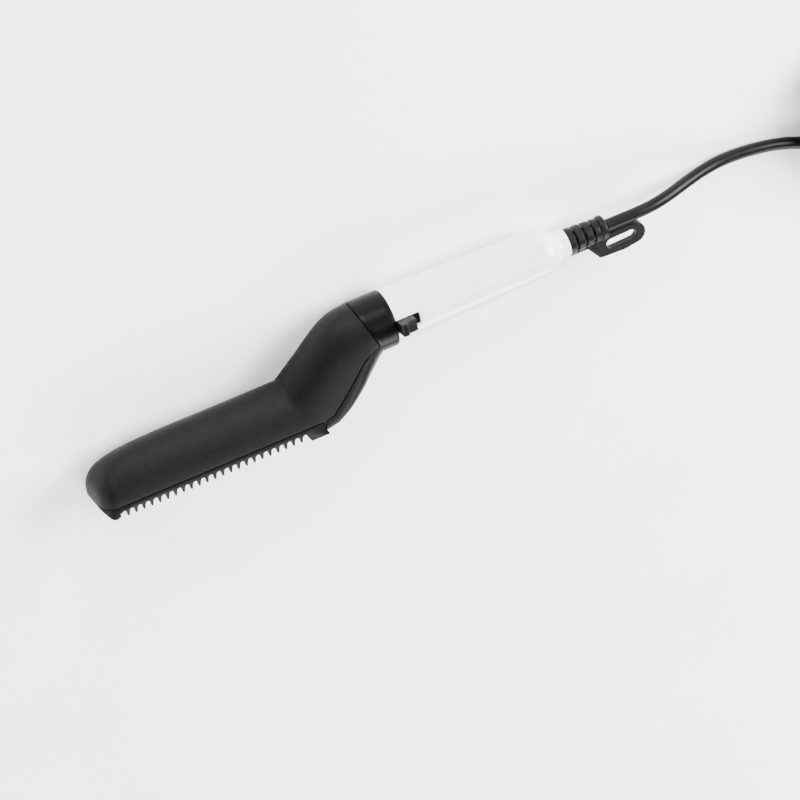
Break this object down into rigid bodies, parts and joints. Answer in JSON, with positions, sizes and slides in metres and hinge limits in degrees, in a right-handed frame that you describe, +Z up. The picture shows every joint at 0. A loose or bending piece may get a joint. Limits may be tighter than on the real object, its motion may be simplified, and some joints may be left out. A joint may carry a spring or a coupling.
{
  "type": "heated styling comb",
  "caption": "Cranked heated comb with two rows of short teeth, a slim round handle with a slide switch, and a mains lead on a swivelling strain relief with a hanging loop.",
  "frame": {"origin": "on the surface the comb lies on, below the centre of its box without the free lead", "axes": "+X along the handle from the head's tip towards the lead, +Y from the teeth to the back of the head, +Z up"},
  "size_m": [0.5245, 0.0819, 0.0341],
  "materials": {
    "white_gloss": "polished white ABS",
    "black_gloss": "semi-gloss black moulding",
    "black_matte": "fine spark-textured matte black",
    "comb_black": "moulded satin black",
    "carrier_plastic": "glass-filled nylon, dull black",
    "anodised_aluminium": "extruded and clear anodised",
    "heater_alloy": "mill finish heater casing",
    "polyimide_film": "amber insulating film",
    "spring_steel": "rolled spring steel",
    "screw_steel": "zinc-plated steel",
    "fuse_case": "resin-sealed fuse body",
    "glass_braid": "woven glass-fibre sleeve",
    "tray_plastic": "moulded dark grey",
    "board_laminate": "green solder mask",
    "switch_can": "tinned steel can",
    "knob_black": "satin black moulding",
    "crimp_nylon": "clear nylon cap",
    "core_pvc": "insulated core",
    "cord_black": "satin flexible PVC sheath",
    "relief_black": "satin flexible PVC moulding",
    "tie_strap": "woven hook and loop strap",
    "plug_black": "satin moulded plug",
    "pin_nickel": "nickel-plated brass"
  },
  "bodies": {
    "root": {"handle_sleeve": "white_gloss", "base_shell": "black_gloss", "upper_shell": "black_matte", "heater_carrier": "carrier_plastic", "heater_plate": "anodised_aluminium", "ptc_heater": "heater_alloy", "insulation_sheets": "polyimide_film", "heater_clamp": "spring_steel", "clamp_bar_screws": "screw_steel", "carrier_screws": "screw_steel", "thermal_fuse": "fuse_case", "heater_leads": "glass_braid", "neck_screws": "screw_steel", "sleeve_screw": "screw_steel", "circuit_tray": "tray_plastic", "circuit_board": "board_laminate", "board_screws": "screw_steel", "slide_switch": "switch_can", "crimp_caps": "crimp_nylon", "mains_leads": "core_pvc", "inner_cord": "cord_black", "cord_clamp": "tray_plastic", "cord_clamp_screws": "screw_steel", "power_cord": "cord_black", "cord_coil": "cord_black", "cord_tail": "cord_black", "cord_tie": "tie_strap", "plug_body": "plug_black", "plug_pins": "pin_nickel"},
    "comb": {"comb_frame": "comb_black"},
    "knob": {"switch_knob": "knob_black"},
    "relief": {"strain_relief": "relief_black", "swivel_ring": "spring_steel"}
  },
  "joints": [
    {"name": "comb_pull", "type": "slide", "parent": "root", "child": "comb", "axis": [-1, 0, 0], "range_m": [0, 0.116]},
    {"name": "switch_slide", "type": "slide", "parent": "root", "child": "knob", "axis": [1, 0, 0], "range_m": [0, 0.0028]},
    {"name": "cord_swivel", "type": "hinge", "parent": "root", "child": "relief", "pos_m": [0.1034, 0.01285, 0.014], "axis": [-1, 0, 0], "range_deg": [0, 180]}
  ]
}
